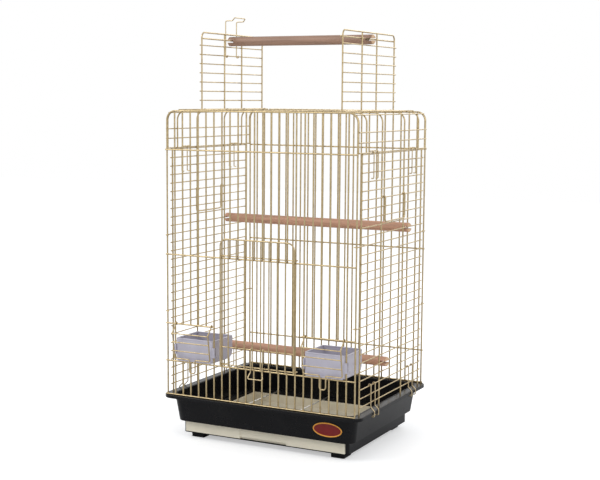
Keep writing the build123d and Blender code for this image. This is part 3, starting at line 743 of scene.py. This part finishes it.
class CAGE_OT_wall_welds(bpy.types.Operator):
    """Add the welds where bars, rails and rows cross in the four walls"""

    bl_idname = "cage.wall_welds"
    bl_label = "Wall Welds"

    def execute(self, context):
        wire = context.scene.cage_wire
        grid = wall_grid(wire)
        material = bpy.data.materials["Cage wire brass"]
        walls = []
        for height in grid["rail_heights"]:
            for x in grid["bars"]:
                walls.append((x, grid["front"], height))
                walls.append((x, grid["rear"], height))
        for x in grid["bars"][:FEEDER_BAR_COUNT] + grid["bars"][-FEEDER_BAR_COUNT:]:
            walls.append((x, grid["front"], grid["feeder_height"]))
        self.grow(wire, "wall_welds", walls, material)
        sides = []
        touch = grid["row_x"] - ROW_RADIUS
        for z in grid["rows"]:
            for y in POST_YS:
                sides.append((touch, y, z))
                sides.append((-touch, y, z))
        self.grow(wire, "side_welds", sides, material)
        return {"FINISHED"}

    def grow(self, wire, name, points, material):
        """Weld every point of one wall group."""
        values = {"Weld Radius": wire.nugget_radius, "Weld Spread": wire.nugget_spread, "Seed": 11}
        holder = points_object(name, points)
        grown(name, holder, weld_tree(), values, material, "root")


class CAGE_OT_roof_welds(bpy.types.Operator):
    """Add the welds of the roof wires and the hinge rods"""

    bl_idname = "cage.roof_welds"
    bl_label = "Roof Welds"

    def execute(self, context):
        wire = context.scene.cage_wire
        rib_low, rib_high = node_box("roof_ribs")
        top = node_box("roof_strips")[0].z
        points = []
        for step in range(ROOF_WIRES_PER_SIDE):
            reach = ROOF_FIRST_X + step * wire.bar_pitch
            for x in (reach, -reach):
                for y in ARCH_YS[:2] + ARCH_YS[-2:]:
                    points.append((x, y, top))
        for x in ROOF_END_XS:
            for y in ARCH_YS[1:-1]:
                points.append((x, y, top))
        for z in RIB_LEVELS:
            for y in ARCH_YS:
                points.append((rib_high.x, y, z))
                points.append((rib_low.x, y, z))
        radius = wire.nugget_radius * FINE_WELD
        values = {"Weld Radius": radius, "Weld Spread": wire.nugget_spread, "Seed": 5}
        holder = points_object("roof_welds", points)
        material = bpy.data.materials["Cage wire brass"]
        grown("roof_welds", holder, weld_tree(), values, material, "root")
        for name, side in SIDES:
            rows_low, rows_high = node_box(f"roof_flap_rows_{name}")
            edge = rows_low.x if side > 0 else rows_high.x
            first = rows_low.z + ROW_RADIUS
            flap = []
            for step in range(FLAP_ROW_COUNT):
                for y in FLAP_BAR_YS:
                    flap.append((edge, y, first + step * FLAP_ROW_PITCH))
            rod_low, rod_high = node_box(f"perch_rod_{name}")
            near = rod_high.x if side > 0 else rod_low.x
            for y in FLAP_BAR_YS:
                flap.append((near, y, (rod_low.z + rod_high.z) / 2))
            holder = points_object(f"flap_welds_{name}", flap)
            body = f"roof_flap_{name}"
            grown(f"flap_welds_{name}", holder, weld_tree(), values, material, body)
        return {"FINISHED"}


class CAGE_OT_door_welds(bpy.types.Operator):
    """Add the welds of the sliding door and the feeder doors"""

    bl_idname = "cage.door_welds"
    bl_label = "Door Welds"

    def execute(self, context):
        wire = context.scene.cage_wire
        material = bpy.data.materials["Door wire brass"]
        radius = wire.nugget_radius * FINE_WELD
        values = {"Weld Radius": radius, "Weld Spread": wire.nugget_spread, "Seed": 3}
        guide_low, guide_high = node_box("main_door_guides")
        brace_low, brace_high = node_box("main_door_brace")
        brace_z = (brace_low.z + brace_high.z) / 2
        heights = (guide_low.z + ROW_RADIUS, guide_high.z - ROW_RADIUS, brace_z)
        points = []
        for step in range(DOOR_BAR_COUNT):
            x = DOOR_FIRST_X + step * wire.bar_pitch
            for z in heights:
                points.append((x, brace_low.y - DOOR_WELD_PROUD, z))
        holder = points_object("door_welds", points)
        grown("door_welds", holder, weld_tree(), values, material, "main_door")
        for name, _ in SIDES:
            legs_low, legs_high = node_box(f"feeder_door_frame_{name}")
            bars_low, bars_high = node_box(f"feeder_door_bars_{name}")
            spots = []
            drop = bars_low.z - bars_high.z + 2 * ROW_RADIUS
            for step in range(FEEDER_DOOR_BARS):
                z = bars_high.z - ROW_RADIUS + drop * step / (FEEDER_DOOR_BARS - 1)
                y = bars_low.y + 2 * ROW_RADIUS + step * FEEDER_BULGE_STEP
                for x in (legs_low.x + DOOR_LEG_RADIUS, legs_high.x - DOOR_LEG_RADIUS):
                    spots.append((x, y, z))
            holder = points_object(f"feeder_welds_{name}", spots)
            body = f"feeder_door_{name}"
            grown(f"feeder_welds_{name}", holder, weld_tree(), values, material, body)
        return {"FINISHED"}


class CAGE_OT_wire_ends(bpy.types.Operator):
    """Round off the cut ends of the rows, rails and rods"""

    bl_idname = "cage.wire_ends"
    bl_label = "Wire Ends"

    def execute(self, context):
        wire = context.scene.cage_wire
        grid = wall_grid(wire)
        points, facings, radii = [], [], []

        def end(place, way, radius):
            points.append(place)
            facings.append(way)
            radii.append(radius * END_FIT)

        for index, z in enumerate(grid["rows"]):
            if index in HOOK_ROWS:
                continue
            for x in (grid["row_x"], -grid["row_x"]):
                end((x, grid["row_ends"][0], z), (0, -1, 0), ROW_RADIUS)
                end((x, grid["row_ends"][1], z), (0, 1, 0), ROW_RADIUS)
        for z in grid["rail_heights"]:
            for y in grid["rail_ys"]:
                end((grid["rail_reach"], y, z), (1, 0, 0), RAIL_RADIUS)
                end((-grid["rail_reach"], y, z), (-1, 0, 0), RAIL_RADIUS)
        rod_low, rod_high = node_box("hinge_rods")
        rod_z = rod_high.z - RAIL_RADIUS
        for x in (rod_low.x + RAIL_RADIUS, rod_high.x - RAIL_RADIUS):
            end((x, rod_high.y, rod_z), (0, 1, 0), RAIL_RADIUS)
            end((x, rod_low.y, rod_z), (0, -1, 0), RAIL_RADIUS)
        values = {"End Height": wire.cap_height}
        material = bpy.data.materials["Cage wire brass"]
        holder = points_object("wall_wire_ends", points, facings, radii)
        grown("wall_wire_ends", holder, cap_tree(), values, material, "root")
        for name, _ in SIDES:
            points, facings, radii = [], [], []
            rows_low, rows_high = node_box(f"roof_flap_rows_{name}")
            x = (rows_low.x + rows_high.x) / 2
            for step in range(FLAP_ROW_COUNT):
                z = rows_low.z + ROW_RADIUS + step * FLAP_ROW_PITCH
                end((x, rows_high.y, z), (0, 1, 0), ROW_RADIUS)
                end((x, rows_low.y, z), (0, -1, 0), ROW_RADIUS)
            rod_low, rod_high = node_box(f"perch_rod_{name}")
            middle = (rod_low + rod_high) / 2
            end((middle.x, rod_high.y, middle.z), (0, 1, 0), RAIL_RADIUS)
            end((middle.x, rod_low.y, middle.z), (0, -1, 0), RAIL_RADIUS)
            holder = points_object(f"flap_wire_ends_{name}", points, facings, radii)
            body = f"roof_flap_{name}"
            grown(f"flap_wire_ends_{name}", holder, cap_tree(), values, material, body)
        return {"FINISHED"}


class CAGE_OT_plaque(bpy.types.Operator):
    """Replace the oval plate with a domed plaque in a raised rim"""

    bl_idname = "cage.plaque"
    bl_label = "Plaque"

    def execute(self, context):
        plastic = context.scene.cage_plastic
        low, high = node_box("badge_plate")
        middle = (low + high) / 2
        half_x = (high.x - low.x) / 2
        half_z = (high.z - low.z) / 2 / math.cos(PLAQUE_SLOPE)
        lean = Matrix.Rotation(math.pi / 2 + PLAQUE_SLOPE, 4, "X")
        turned = Matrix.Translation(middle) @ lean
        shape = bmesh.new()
        rings = []
        for share, lift in PLAQUE_PROFILE[:-1]:
            ring = []
            for step in range(PLAQUE_STEPS):
                angle = 2 * math.pi * step / PLAQUE_STEPS
                inset = (1.0 - share) * half_z
                x = (half_x - inset) * math.cos(angle)
                y = (half_z - inset) * math.sin(angle)
                place = Vector((x, y, (lift - 0.5) * PLAQUE_DEPTH))
                ring.append(shape.verts.new(turned @ place))
            rings.append(ring)
        for index, (outer, inner) in enumerate(zip(rings, rings[1:])):
            for step in range(PLAQUE_STEPS):
                follow = (step + 1) % PLAQUE_STEPS
                corners = (outer[step], outer[follow], inner[follow], inner[step])
                face = shape.faces.new(corners)
                face.material_index = 1 if index < PLAQUE_RIM_RINGS else 0
                face.smooth = True
        top = Vector((0, 0, (PLAQUE_PROFILE[-1][1] - 0.5) * PLAQUE_DEPTH))
        crown = shape.verts.new(turned @ top)
        last = rings[-1]
        for step in range(PLAQUE_STEPS):
            face = shape.faces.new((last[step], last[(step + 1) % PLAQUE_STEPS], crown))
            face.smooth = True
        shape.faces.new(list(reversed(rings[0])))
        bmesh.ops.recalc_face_normals(shape, faces=shape.faces[:])
        mesh = bpy.data.meshes.new("plaque")
        enamel = handled_material(
            "Plaque enamel", plastic.plaque_colour, darker(plastic.plaque_colour, 0.7),
            metallic=0.0, roughness=(0.14, 0.12), marks=0.5, dust=0.0, scales=(120.0, 1500.0), bump=0.04,
            coat=0.1, specular=0.3,
        )
        gilt = handled_material(
            "Plaque rim gilt", plastic.rim_colour, darker(plastic.rim_colour, 0.6), metallic=0.85,
            roughness=(0.24, 0.20), marks=0.5, dust=0.0, scales=(300.0, 2500.0), bump=0.10,
        )
        mesh.materials.append(enamel)
        mesh.materials.append(gilt)
        shape.to_mesh(mesh)
        shape.free()
        piece = mesh_piece("plaque", mesh, enamel, "root")
        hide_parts("badge_plate")
        return {"FINISHED"}


class CAGE_OT_flange_bead(bpy.types.Operator):
    """Add the moulded bead that runs round the flange inside and outside the wire walls"""

    bl_idname = "cage.flange_bead"
    bl_label = "Flange Beads"

    def execute(self, context):
        plastic = context.scene.cage_plastic
        low, high = node_box("base_tub")
        material = bpy.data.materials["Glossy base plastic"]
        radius = plastic.bead_radius
        half_y = (high.y - low.y) / 2
        inner_middle = Vector((0.0, WALL_MIDDLE_Y, high.z - radius * 0.25))
        outer_middle = Vector((0.0, WALL_MIDDLE_Y, high.z - radius * 0.75))
        inner = rounded_loop(*INNER_BEAD, inner_middle)
        outer = rounded_loop(
            high.x - OUTER_BEAD_INSET, half_y - OUTER_BEAD_INSET, OUTER_BEAD_CORNER, outer_middle
        )
        for name, loop in (("flange_bead_inner", inner), ("flange_bead_outer", outer)):
            mesh = tube(name, loop, radius, closed=True, sides=12)
            mesh_piece(name, mesh, material, "root")
        return {"FINISHED"}


class CAGE_OT_cup_rolls(bpy.types.Operator):
    """Add the rolled top edges of the feeding cups"""

    bl_idname = "cage.cup_rolls"
    bl_label = "Cup Rolls"

    def execute(self, context):
        plastic = context.scene.cage_plastic
        material = bpy.data.materials["Cup plastic"]
        radius = plastic.cup_roll
        for name in CUP_NODES:
            low, high = node_box(name)
            near = WALL_MIDDLE_Y - CUP_FRONT_REACH
            far = high.y - CUP_WALL_MIDDLE
            level = high.z - radius * LIP_SINK
            middle = Vector(((low.x + high.x) / 2, (near + far) / 2, level))
            half_x = CUP_HALF_X - CUP_WALL_MIDDLE
            loop = rounded_loop(half_x, (far - near) / 2, CUP_CORNER, middle, steps=6)
            mesh = tube(f"{name}_roll", loop, radius, closed=True, sides=12)
            mesh_piece(f"{name}_roll", mesh, material, "root")
        return {"FINISHED"}


class CAGE_OT_drawer_lip(bpy.types.Operator):
    """Add the moulded lips along the finger pull and the top of the drawer front"""

    bl_idname = "cage.drawer_lip"
    bl_label = "Drawer Lips"

    def execute(self, context):
        low, high = node_box("drawer")
        material = bpy.data.materials["Drawer plastic"]
        front = low.y + LIP_RADIUS * LIP_SINK
        pull = [Vector((x, front, high.z - PULL_DROP)) for x in PULL_XS]
        mesh = tube("drawer_pull_lip", pull, LIP_RADIUS, closed=False)
        mesh_piece("drawer_pull_lip", mesh, material, "drawer")
        reach = (low.x + 0.001, 0.0, high.x - 0.001)
        top = [Vector((x, front, high.z - LIP_RADIUS)) for x in reach]
        mesh = tube("drawer_top_lip", top, LIP_RADIUS, closed=False)
        mesh_piece("drawer_top_lip", mesh, material, "drawer")
        return {"FINISHED"}


def pale_background(tree, output, soft_shader):
    """Show plain white to camera, glossy and transmission rays, and the soft shader to the rest."""
    nodes, links = tree.nodes, tree.links
    rays = nodes.new("ShaderNodeLightPath")
    seen = nodes.new("ShaderNodeMath")
    seen.operation = "MAXIMUM"
    links.new(rays.outputs["Is Camera Ray"], seen.inputs[0])
    links.new(rays.outputs["Is Glossy Ray"], seen.inputs[1])
    clear = nodes.new("ShaderNodeMath")
    clear.operation = "MAXIMUM"
    links.new(seen.outputs[0], clear.inputs[0])
    links.new(rays.outputs["Is Transmission Ray"], clear.inputs[1])
    white = nodes.new("ShaderNodeBackground")
    white.inputs["Color"].default_value = (1.0, 1.0, 1.0, 1.0)
    white.inputs["Strength"].default_value = 1.0
    mix = nodes.new("ShaderNodeMixShader")
    links.new(clear.outputs[0], mix.inputs["Fac"])
    links.new(soft_shader.outputs[0], mix.inputs[1])
    links.new(white.outputs[0], mix.inputs[2])
    links.new(mix.outputs[0], output.inputs["Surface"])


class CAGE_OT_stage(bpy.types.Operator):
    """Set up the floor, lamps, background and camera"""

    bl_idname = "cage.stage"
    bl_label = "Stage"

    def execute(self, context):
        settings = context.scene.cage_stage
        context.scene.view_settings.view_transform = "Standard"
        self.add_floor()
        world = bpy.data.worlds.new("Studio")
        context.scene.world = world
        world.use_nodes = True
        nodes = world.node_tree.nodes
        soft = nodes["Background"]
        soft.inputs["Color"].default_value = (0.95, 0.97, 1.0, 1.0)
        soft.inputs["Strength"].default_value = settings.sky_level
        pale_background(world.node_tree, nodes["World Output"], soft)
        self.add_lamp("Key lamp", (-1.7, -2.0, 2.3), settings.key_power, 1.3)
        self.add_lamp("Fill lamp", (2.3, -1.2, 1.4), settings.fill_power, 1.6)
        self.add_lamp("Rear lamp", (0.3, 2.2, 2.0), settings.fill_power, 1.4)
        self.add_camera(context, settings)
        return {"FINISHED"}

    def add_floor(self):
        """A pale floor that keeps the shadow."""
        shape = bmesh.new()
        bmesh.ops.create_grid(shape, x_segments=8, y_segments=8, size=FLOOR_HALF)
        mesh = bpy.data.meshes.new("floor")
        shape.to_mesh(mesh)
        shape.free()
        floor = bpy.data.objects.new("floor", mesh)
        floor.location.z = -FLOOR_DROP
        bpy.context.scene.collection.objects.link(floor)
        paint = bpy.data.materials.new("Pale floor")
        paint.use_nodes = True
        nodes, links = paint.node_tree.nodes, paint.node_tree.links
        shader = nodes["Principled BSDF"]
        shader.inputs["Base Color"].default_value = (0.90, 0.90, 0.90, 1.0)
        shader.inputs["Roughness"].default_value = 0.8
        rays = nodes.new("ShaderNodeLightPath")
        lift = nodes.new("ShaderNodeMath")
        lift.operation = "MULTIPLY"
        lift.inputs[1].default_value = FLOOR_LIFT
        links.new(rays.outputs["Is Camera Ray"], lift.inputs[0])
        shader.inputs["Emission Color"].default_value = (1.0, 1.0, 1.0, 1.0)
        links.new(lift.outputs[0], shader.inputs["Emission Strength"])
        mesh.materials.append(paint)

    def add_lamp(self, name, place, power, size):
        """A square soft lamp aimed at the middle of the cage."""
        data = bpy.data.lights.new(name, "AREA")
        data.energy = power
        data.size = size
        lamp = bpy.data.objects.new(name, data)
        lamp.location = place
        aim = LAMP_AIM - Vector(place)
        lamp.rotation_euler = aim.to_track_quat("-Z", "Y").to_euler()
        bpy.context.scene.collection.objects.link(lamp)

    def add_camera(self, context, settings):
        """The camera, at the photographed angle."""
        data = bpy.data.cameras.new("Camera")
        data.lens = settings.lens
        data.sensor_width = 36.0
        data.clip_start = 0.05
        data.clip_end = 40.0
        camera = bpy.data.objects.new("Camera", data)
        turn = Matrix.Rotation(math.radians(settings.camera_turn), 4, "Z")
        drop = Matrix.Rotation(math.radians(90.0 - settings.camera_drop), 4, "X")
        roll = Matrix.Rotation(math.radians(settings.camera_roll), 4, "Z")
        place = Matrix.Translation(Vector(settings.camera_place))
        camera.matrix_world = place @ turn @ drop @ roll
        context.scene.collection.objects.link(camera)
        context.scene.camera = camera


class CAGE_PT_pieces(bpy.types.Panel):
    """Lists the pieces of the cage and their settings"""

    bl_label = "Bird Cage"
    bl_idname = "CAGE_PT_pieces"
    bl_space_type = "VIEW_3D"
    bl_region_type = "UI"
    bl_category = "Bird Cage"

    def draw(self, context):
        layout = self.layout
        for group in (
            context.scene.cage_wire,
            context.scene.cage_plastic,
            context.scene.cage_wood,
            context.scene.cage_stage,
        ):
            box = layout.box()
            for key in type(group).__annotations__:
                box.prop(group, key)
        for operator in OPERATORS:
            layout.operator(operator.bl_idname)


SETTINGS = (CageWireSettings, CagePlasticSettings, CageWoodSettings, CageStageSettings)
OPERATORS = (
    CAGE_OT_materials,
    CAGE_OT_wall_welds,
    CAGE_OT_roof_welds,
    CAGE_OT_door_welds,
    CAGE_OT_wire_ends,
    CAGE_OT_plaque,
    CAGE_OT_flange_bead,
    CAGE_OT_cup_rolls,
    CAGE_OT_drawer_lip,
    CAGE_OT_stage,
)


def register():
    """Register the settings, operators and panel."""
    for item in SETTINGS + OPERATORS + (CAGE_PT_pieces,):
        bpy.utils.register_class(item)
    bpy.types.Scene.cage_wire = bpy.props.PointerProperty(type=CageWireSettings)
    bpy.types.Scene.cage_plastic = bpy.props.PointerProperty(type=CagePlasticSettings)
    bpy.types.Scene.cage_wood = bpy.props.PointerProperty(type=CageWoodSettings)
    bpy.types.Scene.cage_stage = bpy.props.PointerProperty(type=CageStageSettings)


def unregister():
    """Take away what register added."""
    for name in ("cage_wire", "cage_plastic", "cage_wood", "cage_stage"):
        delattr(bpy.types.Scene, name)
    for item in reversed(SETTINGS + OPERATORS + (CAGE_PT_pieces,)):
        bpy.utils.unregister_class(item)


def main():
    """Build every piece in order."""
    register()
    bpy.ops.cage.materials()
    bpy.ops.cage.wall_welds()
    bpy.ops.cage.roof_welds()
    bpy.ops.cage.door_welds()
    bpy.ops.cage.wire_ends()
    bpy.ops.cage.plaque()
    bpy.ops.cage.flange_bead()
    bpy.ops.cage.cup_rolls()
    bpy.ops.cage.drawer_lip()
    bpy.ops.cage.stage()


if __name__ == "__main__":
    main()
